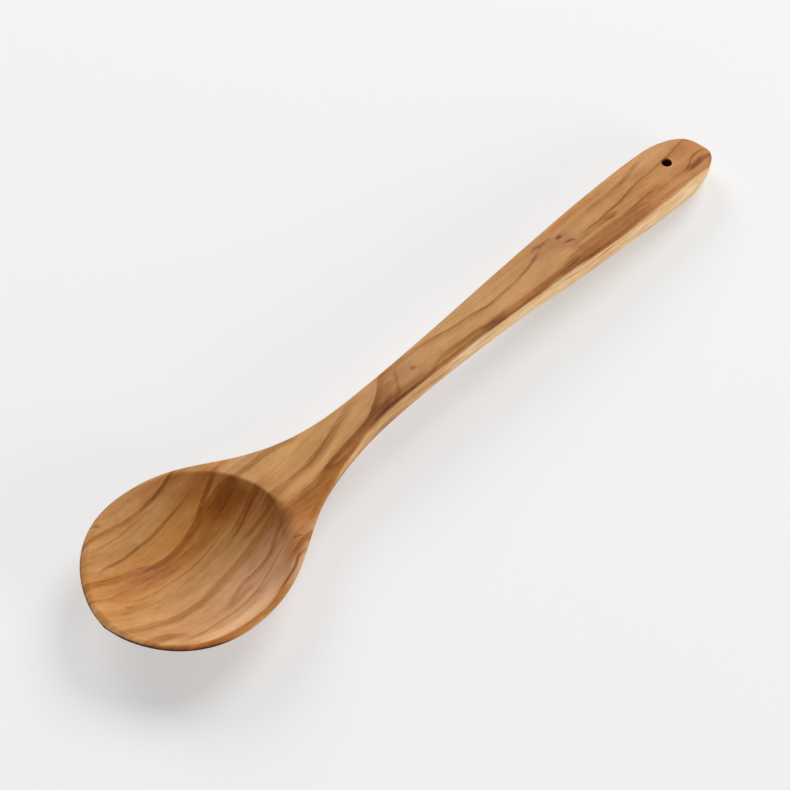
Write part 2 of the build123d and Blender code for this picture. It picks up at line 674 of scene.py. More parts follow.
    def numbered_grid(self) -> tuple[Wire, Wire, Wire]:
        """Lay out the grid from which half the spoon is formed.

        Returns:
            The grid, and the row and the column of each point.
        """
        g = self.graph
        rows, columns = steps(ALONG), steps(AROUND)
        grid = g.node("GeometryNodeMeshGrid", None, {
            "Size X": float(rows), "Size Y": float(columns),
            "Vertices X": rows + 1, "Vertices Y": columns + 1,
        })["Mesh"]
        x, y, _ = self.position()
        row, column = g.math("ROUND", x + rows / 2), g.math("ROUND", y + columns / 2)
        grid, row = self.kept(grid, row)
        grid, column = self.kept(grid, column)
        return grid, row, column

    def scoop(self, upper: Wire) -> Scoop:
        """Fit the scoop between the lands at the tip and at the heel.

        Args:
            upper: The strip of the upper surface.

        Returns:
            The scoop.
        """
        start, end = self.size("tip_land"), self.size("heel_place") - self.size("heel_land")
        front, back = self.reading(upper, start), self.reading(upper, end)
        mouth, half_length = (front + back) / 2, (end - start) / 2
        slant = self.graph.root((end - start) ** 2.0 + (back - front) ** 2.0)
        half_width = self.size("bowl_width") / 2 - self.size("side_land")
        depth = mouth - self.size("bowl_floor")
        return Scoop(
            middle=(start + end) / 2,
            mouth=mouth,
            cosine=(end - start) / slant,
            sine=(back - front) / slant,
            half_length=half_length,
            spread=half_length / half_width,
            depth=depth,
            dish=(half_width ** 2.0 + depth ** 2.0) / (2 * depth),
        )

    def build(self) -> None:
        """Write the whole rule into the tree."""
        g, shares = self.graph, self.shares
        grid, row, column = self.numbered_grid()
        outline, upper, under = self.outline(), self.upper_line(), self.under_line()
        scoop = self.scoop(upper)
        length, end_flat = self.take("spoon_length", "end_flat")
        bore = self.size("hole_diameter") / 2
        hole = length - self.size("hole_inset")
        level = scoop.half_length * scoop.cosine
        hollow_ends = (scoop.middle - level, scoop.middle + level)
        hole_ends = (hole - bore, hole + bore)
        along = self.stations(row, (end_flat, *hollow_ends, *hole_ends, length - end_flat))
        inner_row = (row > 0.5) * (row < steps(ALONG) - 0.5)
        reach = self.reading(outline, along) * inner_row
        top, bottom = self.reading(upper, along), self.reading(under, along)

        neck, widest = self.take("neck_middle", "handle_widest")
        wanted = g.eased(along, neck, widest, *self.take("edge_radius", "end_edge_radius"))
        limit = g.least(shares.edge_limit * reach, shares.edge_limit * (top - bottom))
        radius = g.least(wanted, limit)

        # How far each column has come through each stretch of the half section
        inward, land, edge, side, wall = (self.progress(column, AROUND, s) for s in AROUND)
        outward = 1 - (1 - inward) ** self.SCOOP_CROWDING
        land = land ** self.LAND_CROWDING
        side = 1 - (1 - side) ** self.SIDE_CROWDING

        # The hollow, in the tipped dish's own directions
        over, above = along - scoop.middle, top - scoop.mouth
        local_x = over * scoop.cosine + above * scoop.sine
        local_z = above * scoop.cosine - over * scoop.sine
        lengthwise = local_x / scoop.spread
        core = scoop.dish - scoop.depth
        rim = g.root(scoop.dish ** 2.0 - (core - local_z) ** 2.0)
        hollow_gap = g.root(rim ** 2.0 - lengthwise ** 2.0)
        dish_z = core - g.root(
            scoop.dish ** 2.0 - lengthwise ** 2.0 - (outward * hollow_gap) ** 2.0
        )
        in_hollow = (outward < 1.0) * (hollow_gap > 0.0)
        carved_x = scoop.middle + local_x * scoop.cosine - dish_z * scoop.sine
        carved_z = scoop.mouth + local_x * scoop.sine + dish_z * scoop.cosine

        # The upper surface, out from the middle or the hole, and then the rounded edge
        hole_gap = g.root(bore ** 2.0 - (along - hole) ** 2.0)
        gap, open_gap = hole_gap + outward * hollow_gap, hole_gap + hollow_gap
        y = gap + land * (reach - radius - open_gap) + radius * (edge * (2 - edge))
        x = along + in_hollow * (carved_x - along)
        z = top + in_hollow * (carved_z - top) - radius * edge * edge

        # The side and the underside, one curve that fills out past the shoulder
        bowl_middle, full = self.take("bowl_middle", "full_place")
        undercut = g.eased(along, bowl_middle, neck, *shares.undercut)
        drop = g.eased(along, bowl_middle, full, *shares.side_drop)
        flat = g.eased(along, bowl_middle, full, *shares.flat)
        rest = 1 - side
        first, second = rest ** 3.0, 3 * rest * rest * side
        third, fourth = 3 * rest * side * side, side ** 3.0
        y = y + (reach - hole_gap) * (first + second * (1 - undercut) + third * flat - 1)
        z = z - (top - radius - bottom) * (second * drop + third + fourth)

        # The eased edges of the hanging hole, and its wall
        easing = self.size("hole_easing")
        near = g.most(easing - (g.root((along - hole) ** 2.0 + y ** 2.0) - bore), 0.0)
        eased_by = easing - g.root(easing ** 2.0 - g.least(near, easing) ** 2.0)
        z = z + eased_by * (2 * (side > 0.0) - 1) + wall * (top - bottom - 2 * eased_by)

        # How far each point lies from the rim, and how steep the dish's round is there
        ring = g.root(lengthwise ** 2.0 + y ** 2.0)
        slope = g.root((lengthwise / scoop.spread) ** 2.0 + y ** 2.0)
        slope = slope / g.most(ring, self.SMALLEST_RING)
        rim_distance = (ring - rim) / g.most(slope, self.SMALLEST_SLOPE)
        grid, rim_distance = self.kept(grid, rim_distance + self.FAR_FROM_RIM * (side > 0.0))
        grid, slope = self.kept(grid, slope)
        grid, reach = self.kept(grid, reach)

        half = self.trimmed(self.moved(grid, g.vector(x, y, z)), row, column)
        whole = self.both_sides(half)
        whole = self.soften_rim(whole, rim_distance, slope)
        whole = self.offset_hole(whole, hole, reach)
        whole = self.wear_corner(whole)
        self.finish(self.uneven(whole))

    def trimmed(self, half: Wire, row: Wire, column: Wire) -> Wire:
        """Leave the wall of the hanging hole out of the grid where there is no hole.

        Args:
            half: Half the spoon.
            row: The row of each point.
            column: The column of each point.

        Returns:
            The half without what is left over.
        """
        before = float(steps(ALONG[:ALONG.index(Stretch.HOLE)]))
        outside = 1 - (row > before) * (row < before + Stretch.HOLE.value)
        waste = (column > float(steps(AROUND) - Stretch.BORE.value)) * outside
        settings = {"domain": "FACE", "mode": "ALL"}
        sockets = {"Geometry": half, "Selection": waste}
        return self.graph.node("GeometryNodeDeleteGeometry", settings, sockets)["Geometry"]

    def both_sides(self, half: Wire) -> Wire:
        """Add the mirrored half and close the seam along the middle.

        Args:
            half: Half the spoon.

        Returns:
            The closed form.
        """
        g = self.graph
        x, y, z = self.position()
        other = self.moved(half, g.vector(x, -y, z))
        turned = g.node("GeometryNodeFlipFaces", None, {"Mesh": other})["Mesh"]
        joined = g.node("GeometryNodeJoinGeometry", None, {"Geometry": [half, turned]})["Geometry"]
        sockets = {"Geometry": joined, "Distance": self.MERGE}
        return g.node("GeometryNodeMergeByDistance", None, sockets)["Geometry"]

    def soften_rim(self, whole: Wire, rim_distance: Wire, slope: Wire) -> Wire:
        """Round the hollow's rim, more at the near side of the heel.

        Args:
            whole: The closed form.
            rim_distance: How far each point lies from the rim.
            slope: How steep the hollow's round is there.

        Returns:
            The form with its soft rim.
        """
        g = self.graph
        x, y, z = self.position()
        start, end = (share * self.size("heel_place") for share in self.SOFT_HEEL)
        heelward = g.eased(x, start, end) * g.eased(y, *self.SOFT_SIDE)
        softness = self.size("rim_softness") + self.size("heel_softness") * heelward
        closeness = g.most(softness - abs(rim_distance), 0.0)
        return self.moved(whole, g.vector(x, y, z - slope * closeness ** 2.0 / (4 * softness)))

    def offset_hole(self, whole: Wire, hole: Wire, reach: Wire) -> Wire:
        """Slide the wood round the hanging hole sideways, so that the hole lies off the middle.

        Args:
            whole: The closed form.
            hole: The hole's place along the spoon.
            reach: Half the spoon's width at each point.

        Returns:
            The form with its hole off the middle line.
        """
        g = self.graph
        x, y, z = self.position()
        start, end = (bores * self.size("hole_diameter") / 2 for bores in self.SLIDE_SPAN)
        lengthwise = g.eased(abs(x - hole), start, end, 1.0, 0.0)
        crosswise = g.eased(abs(y), start, self.SLIDE_REACH * reach, 1.0, 0.0)
        slide = self.size("hole_offset") * lengthwise * crosswise
        return self.moved(whole, g.vector(x, y + slide, z))

    def wear_corner(self, whole: Wire) -> Wire:
        """Draw back the far corner of the handle's end, which is worn more than the near one.

        Args:
            whole: The closed form.

        Returns:
            The form with its worn corner.
        """
        g = self.graph
        x, y, z = self.position()
        length, half = self.size("spoon_length"), self.size("handle_width") / 2
        endward = g.eased(x, *(length - widths * half for widths in self.WEAR_SPAN))
        farther = (y + g.root(y ** 2.0 + (self.WEAR_SPREAD * half) ** 2.0)) / 2
        return self.moved(whole, g.vector(x - self.CORNER_WEAR * endward * farther, y, z))

    def uneven(self, whole: Wire) -> Wire:
        """Press slight hand-carved hollows into the surface, and bring the spoon to its place.

        Args:
            whole: The closed form.

        Returns:
            The form in the shared frame.
        """
        g = self.graph
        noise = g.node("ShaderNodeTexNoise", {"noise_dimensions": "4D"}, {
            "Vector": g.node("GeometryNodeInputPosition")["Position"], "W": self.KNIFE_SEED,
            "Scale": self.KNIFE_SCALE, "Detail": self.KNIFE_DETAIL,
            "Roughness": self.KNIFE_ROUGHNESS,
        })["Fac"]
        normal = g.node("GeometryNodeInputNormal")["Normal"]
        depth = self.size("carving_unevenness") * -g.held(noise)
        sockets = {0: normal, "Scale": depth}
        push = g.node("ShaderNodeVectorMath", {"operation": "SCALE"}, sockets)["Vector"]
        shift = g.vector(self.size("spoon_length") / -2, 0.0, 0.0)
        return self.moved(self.moved(whole, push, "Offset"), shift, "Offset")

    def finish(self, whole: Wire) -> None:
        """Smooth the shading, turn everything real and lay the wood on.

        Args:
            whole: The finished form.
        """
        g = self.graph
        smooth = g.node("GeometryNodeSetShadeSmooth", None, {"Geometry": whole})["Geometry"]
        real = g.node("GeometryNodeRealizeInstances", None, {"Geometry": smooth})["Geometry"]
        sockets = {"Geometry": real, "Material": self.size("material")}
        clad = g.node("GeometryNodeSetMaterial", None, sockets)["Geometry"]
        g.node("NodeGroupOutput", None, {"Geometry": clad})

    def grow(self, name: str) -> bpy.types.Object:
        """Run the rule once and keep its result as a plain mesh.

        Args:
            name: The piece's name.

        Returns:
            The piece, with no modifier left on it.
        """
        self.build()
        piece = bpy.data.objects.new(name, bpy.data.meshes.new(name))
        bpy.context.scene.collection.objects.link(piece)
        rule = piece.modifiers.new("rule", "NODES")
        rule.node_group = self.tree
        for size in fields(self.sizes):
            rule[self.sockets[size.name]] = getattr(self.sizes, size.name) * MM
        rule[self.sockets["material"]] = self.material
        bpy.context.view_layer.update()
        graph = bpy.context.evaluated_depsgraph_get()
        mesh = bpy.data.meshes.new_from_object(piece.evaluated_get(graph))
        piece.modifiers.remove(rule)
        piece.data = mesh
        return piece


class Tint(Enum):
    """Hues that a streak of the wood leans to, as what they let through of each colour."""

    PLAIN = (1.0, 1.0, 1.0, 1.0)
    PINK = (1.0, 1.0, 1.28, 1.0)
    RED = (1.0, 0.82, 0.66, 1.0)
    ORANGE = (1.03, 0.89, 0.60, 1.0)


@dataclass(frozen=True)
class Streak:
    """A layer of the wood that shows as a line, a band or a patch, or a patch of painted shade.

    Its points give a place from the tip of the bowl, a place across the layers and a strength.
    Above and below say how far it fades to the two sides, in millimetres, and tone how far it
    darkens the wood. Solid is the share of that reach over which it doesn't fade yet.
    """

    name: str
    above: float
    below: float
    tone: float
    points: tuple[tuple[float, float, float], ...]
    tint: Tint = Tint.PLAIN
    solid: float = 0.3


STREAKS = (
    Streak("far_warmth", 11, 10, 0.04, ((2, 7.7, 0.3), (12, 9, 0.6), (20, 10.8, 0.9),
        (40, 13.5, 0.9), (52, 15.2, 0.8), (62, 14.6, 0.4), (70, 12.9, 0)), Tint.ORANGE, 0.5),
    Streak("near_pallor", 6, 14, -0.04, ((12, -9.1, 0.3), (25, -12.1, 0.5), (45, -11.6, 0.7),
        (60, -11.2, 0.85), (74, -10.6, 0.8)), Tint.PINK, 0.4),
    Streak("rim_line", 0.25, 1.1, 0.4, ((15, 27.3, 0.6), (20, 28.4, 0.6), (30, 29.3, 0.5),
        (40, 29.4, 0.7), (48, 29.7, 1), (55, 30, 1), (60, 30.4, 0.3))),
    Streak("rim_hair", 0.2, 0.6, 0.16, ((18, 25.2, 0.5), (28, 26.5, 0.9), (36, 27.5, 0.6),
        (43, 28.1, 0.2))),
    Streak("rim_hair_two", 0.2, 0.6, 0.12, ((20, 24, 0.3), (26, 25.2, 0.8), (33, 25.5, 0.5),
        (40, 26.4, 0.2))),
    Streak("far_rim_patch", 2.5, 3, 0.1, ((42, 31.9, 0.2), (50, 30.5, 0.8), (56, 29.5, 0.7),
        (62, 26.8, 0.3)), Tint.RED),
    Streak("far_line", 0.25, 1.1, 0.32, ((12, 18, 0.1), (17, 20.2, 0.5), (22, 20.7, 0.8),
        (32, 21.8, 1), (40, 22.2, 0.8), (47, 22.6, 1), (52, 22.9, 0.6), (60, 23.3, 0.4))),
    Streak("first_band", 0.4, 2.5, 0.28, ((3, 14.9, 0.8), (8, 15.9, 1), (12, 16.5, 1),
        (17, 16.3, 1), (22, 16.3, 1), (27, 16.2, 1), (30, 15.4, 1), (32, 14.6, 0.9),
        (36, 14.5, 0.9), (42, 14.8, 0.8), (47, 15.4, 0.9), (53, 16.5, 1), (58, 17.4, 0.9)),
        Tint.PLAIN, 0.5),
    Streak("first_shade", 0.6, 3.6, 0.14, ((16, 12.3, 0.3), (24, 14.3, 0.8), (32, 14, 0.9),
        (42, 14.1, 0.9), (52, 14.9, 1), (60, 15.4, 1), (66, 15.2, 0.6)), Tint.PLAIN, 0.5),
    Streak("second_line", 0.3, 0.9, 0.22, ((2, 9.3, 0.9), (6, 9.5, 0.8), (10, 9.9, 0.9),
        (14, 10.5, 0.8), (19, 11.4, 0.5), (26, 11.6, 0.7), (33, 11.7, 0.8), (42, 11.6, 0.8),
        (50, 12, 0.7), (58, 12.1, 0.9), (66, 12.7, 0.6))),
    Streak("second_shade", 1, 3.4, 0.14, ((8, 8.1, 0.3), (14, 9.5, 0.9), (26, 10.3, 0.9),
        (40, 10.7, 0.9), (52, 10.7, 1), (62, 10.5, 1), (70, 9.7, 0.8)), Tint.PLAIN, 0.4),
    Streak("third_line", 0.25, 0.7, 0.2, ((15, 7.1, 0.5), (20, 6.4, 0.7), (26, 6.4, 0.8),
        (33, 6.6, 0.9), (38, 6.4, 1), (42, 6.2, 1), (47, 6.5, 1), (53, 7, 0.8), (60, 7.5, 0.6))),
    Streak("fourth_line", 0.25, 0.6, 0.12, ((17, 2.6, 0.2), (24, 2.7, 0.8), (32, 2.9, 0.9),
        (38, 3.4, 0.8), (44, 3, 0.4), (52, 3, 0.2))),
    Streak("small_blot", 0.7, 1, 0.14, ((11, 5.6, 0), (13.5, 4.9, 1), (16, 4.6, 0))),
    Streak("heel_far", 4, 5, 0.14, ((50, 26.2, 0.2), (57, 23.2, 0.7), (64, 21.8, 0.9),
        (69, 20.3, 0.8), (73, 18.4, 0)), Tint.RED, 0.4),
    Streak("heel_dark", 1, 10, 0.26, ((55, 16.2, 0.1), (60, 16.7, 0.6), (65, 16.8, 0.95),
        (69, 16.1, 1), (72, 15.2, 0.6), (74, 14.6, 0)), Tint.RED, 0.4),
    Streak("heel_streak", 0.5, 1.9, 0.34, ((56, 17.5, 0.6), (60, 18.7, 1), (64, 19.8, 1),
        (67, 20.7, 1), (71, 21.4, 0.6), (76, 21.6, 0.25)), Tint.RED, 0.35),
    Streak("heel_low", 0.8, 3, 0.16, ((58, 4.5, 0.3), (64, 5.4, 0.9), (70, 6.4, 1), (75, 6.5, 0.8),
        (78, 6.8, 0.2))),
    Streak("heel_hair", 0.3, 0.7, 0.22, ((56, 2.6, 0.4), (62, 3.4, 0.9), (68, 4.6, 1),
        (72, 5.1, 0.6))),
    Streak("heel_patch", 0.8, 1.8, 0.2, ((60, 0, 0.3), (67, -0.8, 1), (74, -1.9, 1),
        (77, -2.2, 0.5))),
    Streak("middle_band", 0.5, 3.6, 0.23, ((3, -5.2, 0.5), (10, -4.9, 0.8), (15, -5, 0.8),
        (20, -5.9, 1), (26, -6.4, 1), (33, -6.3, 1), (40, -5.5, 1), (46, -4.7, 0.9),
        (52, -4.3, 0.8), (60, -3.7, 0.8), (66, -3.6, 0.9), (74, -3.7, 0.8)), Tint.PLAIN, 0.4),
    Streak("middle_shade", 1, 5, 0.08, ((2, -6.8, 0.8), (10, -6.7, 1), (18, -6.8, 0.6),
        (45, -6.4, 0.5), (56, -6.8, 0.9), (66, -6.5, 1), (74, -7.5, 0.6))),
    Streak("near_line", 0.6, 2.2, 0.17, ((39.5, -15.5, 0.2), (42, -14.4, 0.8), (45, -13.1, 0.9),
        (49, -12.1, 0.9), (54, -13, 0.8), (60, -12.9, 1), (65, -11, 1), (70, -9, 0.9),
        (75, -7.6, 0.6), (79, -6.8, 0.3)), Tint.PLAIN, 0.35),
    Streak("near_shade", 0.8, 4.6, 0.15, ((38, -16.5, 0.4), (42, -15.3, 0.9), (50, -13.2, 1),
        (58, -13.6, 1), (66, -11.5, 1), (74, -8.5, 0.7)), Tint.PINK, 0.5),
    Streak("near_second", 0.25, 1, 0.22, ((48, -19.9, 0.4), (53, -18.6, 0.8), (58, -17.4, 1),
        (64, -16.1, 0.9), (69, -15.1, 0.6), (74, -15, 0.2))),
    Streak("pale_wall_band", 0.8, 1.2, 0.14, ((17, -21.3, 0.4), (25, -20.8, 1), (35, -20.6, 1),
        (43, -20.7, 0.8), (50, -20, 0.3))),
    Streak("tip_shade", 1.2, 4.5, 0.17, ((4, -15.7, 0.6), (8, -14.5, 1), (12, -13.7, 1),
        (16, -14.8, 1), (19, -16.9, 0.8), (22, -19.4, 0.3)), Tint.PINK, 0.5),
    Streak("tip_pale", 0.9, 1.5, -0.12, ((8, -19.8, 0.2), (12, -19.7, 1), (15, -19.9, 0.3))),
    Streak("near_wall_pink", 9, 12, -0.07, ((14, -21.9, 0.3), (25, -24.2, 0.7), (44, -23.6, 0.9),
        (52, -22.7, 1), (61, -21.1, 1), (67, -20.6, 0.3)), Tint.PINK, 0.5),
    Streak("mauve_patch", 3, 7, 0.05, ((46, -17.6, 0.3), (54, -19.5, 1), (62, -20.1, 1),
        (70, -18.1, 0.7)), Tint.PINK, 0.4),
    Streak("pale_wall", 4, 5, -0.17, ((18, -24.8, 0.3), (28, -26.8, 1), (38, -27.6, 1),
        (46, -27.1, 0.8), (54, -24, 0.4)), Tint.PLAIN, 0.4),
    Streak("near_rim_dark", 0.6, 1.2, 0.6, ((54, -28.8, 0.4), (58, -27.9, 0.9), (61, -27, 1),
        (64, -25.1, 1), (66, -23.9, 0.5)), Tint.RED, 0.35),
    Streak("near_rim_patch", 0.8, 2.4, 0.32, ((64, -22, 0.3), (68, -21.1, 0.9), (72, -20.4, 1),
        (76, -20.4, 0.5)), Tint.RED, 0.35),
    Streak("near_rim_dot", 0.8, 0.8, 0.28, ((68.5, -17.4, 0), (70.8, -18, 1), (72, -19.2, 0.4),
        (73, -19.6, 0)), Tint.RED),
    Streak("near_rim_band", 2.2, 2.4, 0.22, ((6, -17.9, 0.5), (10, -22.9, 0.8), (16, -27.7, 0.9),
        (24, -31.2, 0.9), (32, -32.8, 1), (42, -32.9, 1), (50, -31.4, 0.8), (56, -29.6, 0.3)),
        Tint.ORANGE, 0.4),
    Streak("notch", 0.6, 0.6, 0.45, ((22.8, 31, 0), (24.5, 30.8, 1), (26.5, 30.5, 0))),
    Streak("shoulder_light", 12, 12, -0.08, ((80, 3.4, 0.5), (86, 3.4, 1), (96, 2.3, 1),
        (108, 1.5, 0.9), (118, 1.7, 0.7), (126, 2.5, 0.2)), Tint.PLAIN, 0.6),
    Streak("shoulder_warm", 14, 14, 0.02, ((78, 0.4, 0.25), (96, 0.3, 0.3), (112, -0.1, 0.2),
        (122, -0.4, 0.1)), Tint.ORANGE, 0.7),
    Streak("shoulder_pale", 1.2, 2, -0.08, ((76, -3.8, 0.6), (84, -4.4, 1), (94, -4.1, 1),
        (104, -2.1, 0.8), (114, -0.2, 0.6), (122, 1.6, 0.3))),
    Streak("shoulder_far", 0.5, 2.6, 0.17, ((72, 14.8, 0.6), (80, 14.4, 1), (86, 14.3, 1),
        (92, 13.1, 1), (97, 11.4, 0.6)), Tint.PLAIN, 0.5),
    Streak("shoulder_band", 0.5, 2.9, 0.16, ((75, 0.8, 0.8), (84, 0.2, 0.9), (92, 0.3, 1),
        (99, 1.1, 1), (104, 1.7, 1), (109, 3, 1), (114, 4.2, 0.9), (120, 5.3, 0.6)), Tint.PLAIN,
        0.6),
    Streak("shoulder_hair", 0.25, 0.6, 0.24, ((83, -0.2, 0.2), (89, -0.4, 0.8), (95, -0.3, 0.9),
        (100, 0.6, 1), (105, 1.7, 0.9), (110, 2.5, 0.5))),
    Streak("near_boundary", 0.35, 9, 0.24, ((72, -6.3, 0.4), (78, -6.8, 0.9), (86, -6.8, 1),
        (93, -6.5, 1), (98, -5.4, 1), (104, -4.9, 1), (112, -4.7, 1), (119, -4.1, 1),
        (124, -1.9, 1), (128, 0.1, 1), (131, 2.5, 0.9), (134, 4.7, 0.8), (138, 7, 0.7),
        (146, 7, 0.5), (153, 7, 0)), Tint.PLAIN, 0.5),
    Streak("boundary_core", 0.3, 2, 0.24, ((95, -5.9, 0.6), (99, -5.4, 1), (106, -5, 1),
        (113, -4.8, 0.8), (119, -4.2, 0.8), (124, -2.1, 0.6), (129, 0.7, 0.4)), Tint.PLAIN, 0.35),
    Streak("neck_edge", 0.35, 3.4, 0.15, ((119, -4.1, 0.3), (124, -1.9, 0.9), (128, 0.1, 1),
        (131, 2.5, 1), (134, 4.7, 1), (137, 6.5, 0.8)), Tint.PLAIN, 0.4),
    Streak("near_core", 0.9, 1.3, 0.14, ((96, -7.3, 0.2), (99, -7.6, 1), (102, -8.2, 1),
        (105, -8.3, 0.2)), Tint.RED),
    Streak("shoulder_orange", 6, 7, 0.12, ((66, -20.5, 0.5), (72, -14.6, 0.7), (80, -12.6, 1),
        (88, -12.1, 1), (96, -10.2, 0.8), (102, -8.8, 0.3)), Tint.ORANGE, 0.4),
    Streak("shoulder_rust", 1, 1.6, 0.14, ((78, -16.2, 0.4), (83, -14.8, 1), (88, -13.4, 1),
        (93, -11.7, 0.5)), Tint.ORANGE),
    Streak("neck_mauve", 7, 9, 0.05, ((122, -4.2, 0.3), (128, -2, 0.7), (134, 0, 0.9),
        (142, 0, 0.9), (148, -1, 0.6), (154, -1, 0)), Tint.PINK, 0.4),
    Streak("neck_brown", 2, 4, 0.14, ((120, -5.5, 0.5), (126, -4.9, 1), (132, -4.7, 1),
        (140, -5.5, 0.7), (148, -6.1, 0.4))),
    Streak("crack", 1.5, 1.8, 0.24, ((130.5, -6.3, 0.4), (132.6, -5.4, 0.9), (134, -4.5, 0.5),
        (135.6, -2.9, 1), (137, -1.3, 0.5), (138.4, 0.9, 0.9), (140, 2.9, 0.2)), Tint.PLAIN, 0.25),
    Streak("crack_branch", 0.6, 0.8, 0.1, ((135, 2.1, 0.2), (136, 0.3, 0.8), (137.2, -1.5, 0.6))),
    Streak("neck_tick", 0.8, 0.8, 0.55, ((144, -0.2, 0), (145.4, -0.3, 1), (146.8, -0.7, 0))),
    Streak("crease_line", 0.8, 1.6, 0.5, ((121, -6.3, 0.4), (127, -6.3, 1), (140, -6.4, 1),
        (150, -6.5, 0.9), (160, -6.8, 0.7), (170, -7.1, 0.6), (178, -7.4, 0.8)), Tint.PLAIN, 0.4),
    Streak("lens", 0.5, 1.6, 0.22, ((150, -5.5, 0.3), (154, -4.4, 0.8), (160, -4, 1),
        (166, -4.3, 0.9), (172, -4.9, 1), (177, -5.8, 1), (182, -6.6, 0.7))),
    Streak("lens_shade", 0.6, 4, 0.16, ((158, -5.7, 0.3), (166, -5.3, 0.8), (173, -5.7, 1),
        (180, -6.6, 1)), Tint.PLAIN, 0.6),
    Streak("edge_dark", 2.2, 3.2, 0.46, ((178, -7, 0.5), (184, -7.2, 0.9), (190, -7.6, 0.8),
        (195, -7.7, 1), (200, -7.7, 1), (205, -7.9, 0.8), (211, -7.9, 0.9), (218, -7.9, 1),
        (224, -8.3, 0.6), (230, -9, 0.3)), Tint.PLAIN, 0.4),
    Streak("edge_line", 0.35, 0.7, 0.3, ((193, -8.1, 0.4), (198, -8.1, 1), (204, -8, 0.8),
        (210, -8, 1), (218, -8, 1), (223, -8.1, 0.2))),
    Streak("near_warm", 4, 5, 0.02, ((180, -8.4, 0.2), (195, -8.3, 0.4), (230, -8.5, 0.45),
        (270, -7.2, 0.45), (290, -5.8, 0.4)), Tint.RED, 0.5),
    Streak("handle_band", 2.4, 6.5, 0.32, ((216, -7.2, 0.2), (222, -6.5, 0.8), (230, -5.9, 1),
        (242, -5.7, 1), (255, -5.5, 1), (262, -5, 0.6), (270, -4.4, 0.4)), Tint.PLAIN, 0.45),
    Streak("band_core", 0.8, 1.3, 0.24, ((222, -9.3, 0.5), (230, -9.6, 1), (240, -9.8, 1),
        (250, -9.8, 0.8), (260, -9.8, 0.5)), Tint.RED),
    Streak("far_long", 0.4, 1.3, 0.28, ((151, 4.7, 0.4), (155, 4.3, 0.7), (161, 3.6, 0.9),
        (167, 2.3, 0.9), (173, 1.7, 0.8), (179, 0.8, 0.8), (182, 0, 1), (186, -0.1, 0.7),
        (190, 0.2, 0.9), (197, 0.7, 0.9), (203, 1.6, 1), (209, 2.8, 0.9), (213, 4.2, 0.6),
        (217, 5.8, 0.3))),
    Streak("far_shade", 0.8, 3.2, 0.14, ((150, 3.9, 0.4), (158, 3.5, 0.9), (166, 2.1, 1),
        (174, 1.4, 1), (182, -0.2, 0.8), (188, -0.7, 0.3)), Tint.PLAIN, 0.4),
    Streak("far_patch", 0.7, 1, 0.16, ((178, 0.6, 0.1), (181, 0.4, 1), (184, -0.3, 1),
        (187, -0.3, 0.1))),
    Streak("knot_halo", 5, 5, 0.1, ((206, 3.4, 0.1), (214, 3.3, 0.8), (222, 2.1, 1),
        (230, 0.5, 0.5), (236, 0.1, 0.1)), Tint.PINK),
    Streak("knot_one", 0.7, 0.7, 0.32, ((212, 6, 0), (214.5, 6.2, 1), (217, 5.8, 0.7),
        (221, 6.1, 0.4), (224, 6.1, 0))),
    Streak("knot_two", 1.2, 1.2, 0.2, ((222.2, 4, 0), (224.4, 4, 1), (226.6, 3.9, 0)), Tint.ORANGE),
    Streak("knot_two_core", 0.8, 0.8, 0.7, ((223.2, 3.9, 0), (224.6, 3.9, 1), (226, 3.8, 0))),
    Streak("knot_three", 0.9, 0.9, 0.6, ((222.5, 0.9, 0), (225.2, 0.5, 0.9), (226.8, 0.1, 1),
        (228.5, -0.6, 0))),
    Streak("knot_smudge", 2.5, 2.5, 0.1, ((223, -3.1, 0), (227, -3.6, 0.8), (230, -4.2, 0)),
        Tint.RED),
    Streak("end_lens", 0.5, 2.4, 0.16, ((228, -1.2, 0.2), (232, -0.8, 0.9), (238, -0.5, 1),
        (244, -0.7, 1), (249, -1.3, 0.4)), Tint.PLAIN, 0.6),
    Streak("end_lens_core", 0.5, 0.8, 0.2, ((243, -2, 0), (245, -2.2, 1), (248, -1.7, 0.4),
        (250, -1.5, 0))),
    Streak("end_long", 0.25, 1, 0.32, ((240, -0.1, 0.4), (246, 0.4, 0.8), (252, 1, 1),
        (256, 1.8, 1), (260, 2.8, 1), (266, 3.7, 0.8), (272, 4.1, 0.6), (279, 5.2, 0.6),
        (286, 6, 0.7), (294, 7.2, 0.5))),
    Streak("end_long_shade", 0.5, 2.6, 0.08, ((250, 0.5, 0.3), (258, 1.9, 0.8), (270, 3.4, 0.8),
        (284, 5.3, 0.8), (294, 6.6, 0.5))),
    Streak("end_far", 0.6, 1.8, 0.18, ((240, 6, 0.1), (246, 6.2, 0.9), (254, 6.6, 0.8),
        (261, 7.6, 1), (267, 9, 1), (272, 10.4, 0.6), (277, 11.6, 0.2)), Tint.PLAIN, 0.4),
    Streak("end_far_shade", 1.5, 2.5, 0.1, ((222, 7.9, 0.2), (230, 8.6, 0.6), (240, 8.9, 0.7),
        (248, 9.3, 0.4), (256, 10, 0.2)), Tint.RED),
    Streak("end_near_line", 0.3, 0.8, 0.18, ((250, -4.3, 0.4), (256, -4, 0.9), (263, -3.1, 1),
        (270, -2, 0.5))),
    Streak("end_near_second", 0.3, 0.9, 0.2, ((246, -5.2, 0.4), (251, -4.9, 1), (257, -5.2, 0.9),
        (262, -6, 0.5))),
    Streak("end_near_third", 0.3, 0.8, 0.14, ((268, -4.2, 0.3), (275, -4, 0.9), (281, -3.7, 0.8),
        (286, -3.2, 0.4))),
    Streak("end_arc", 0.3, 0.8, 0.3, ((283, -3.9, 0.3), (286, -2.9, 0.9), (289, -1.4, 1),
        (292, -0.6, 1), (295.5, -0.6, 0.6), (298, -0.9, 0.2)), Tint.RED),
    Streak("end_streak", 1.7, 2, 0.5, ((282, -3.9, 0.1), (286, -4.3, 0.8), (289, -4.4, 1),
        (292, -4.2, 0.7), (296, -4.7, 0.4)), Tint.RED),
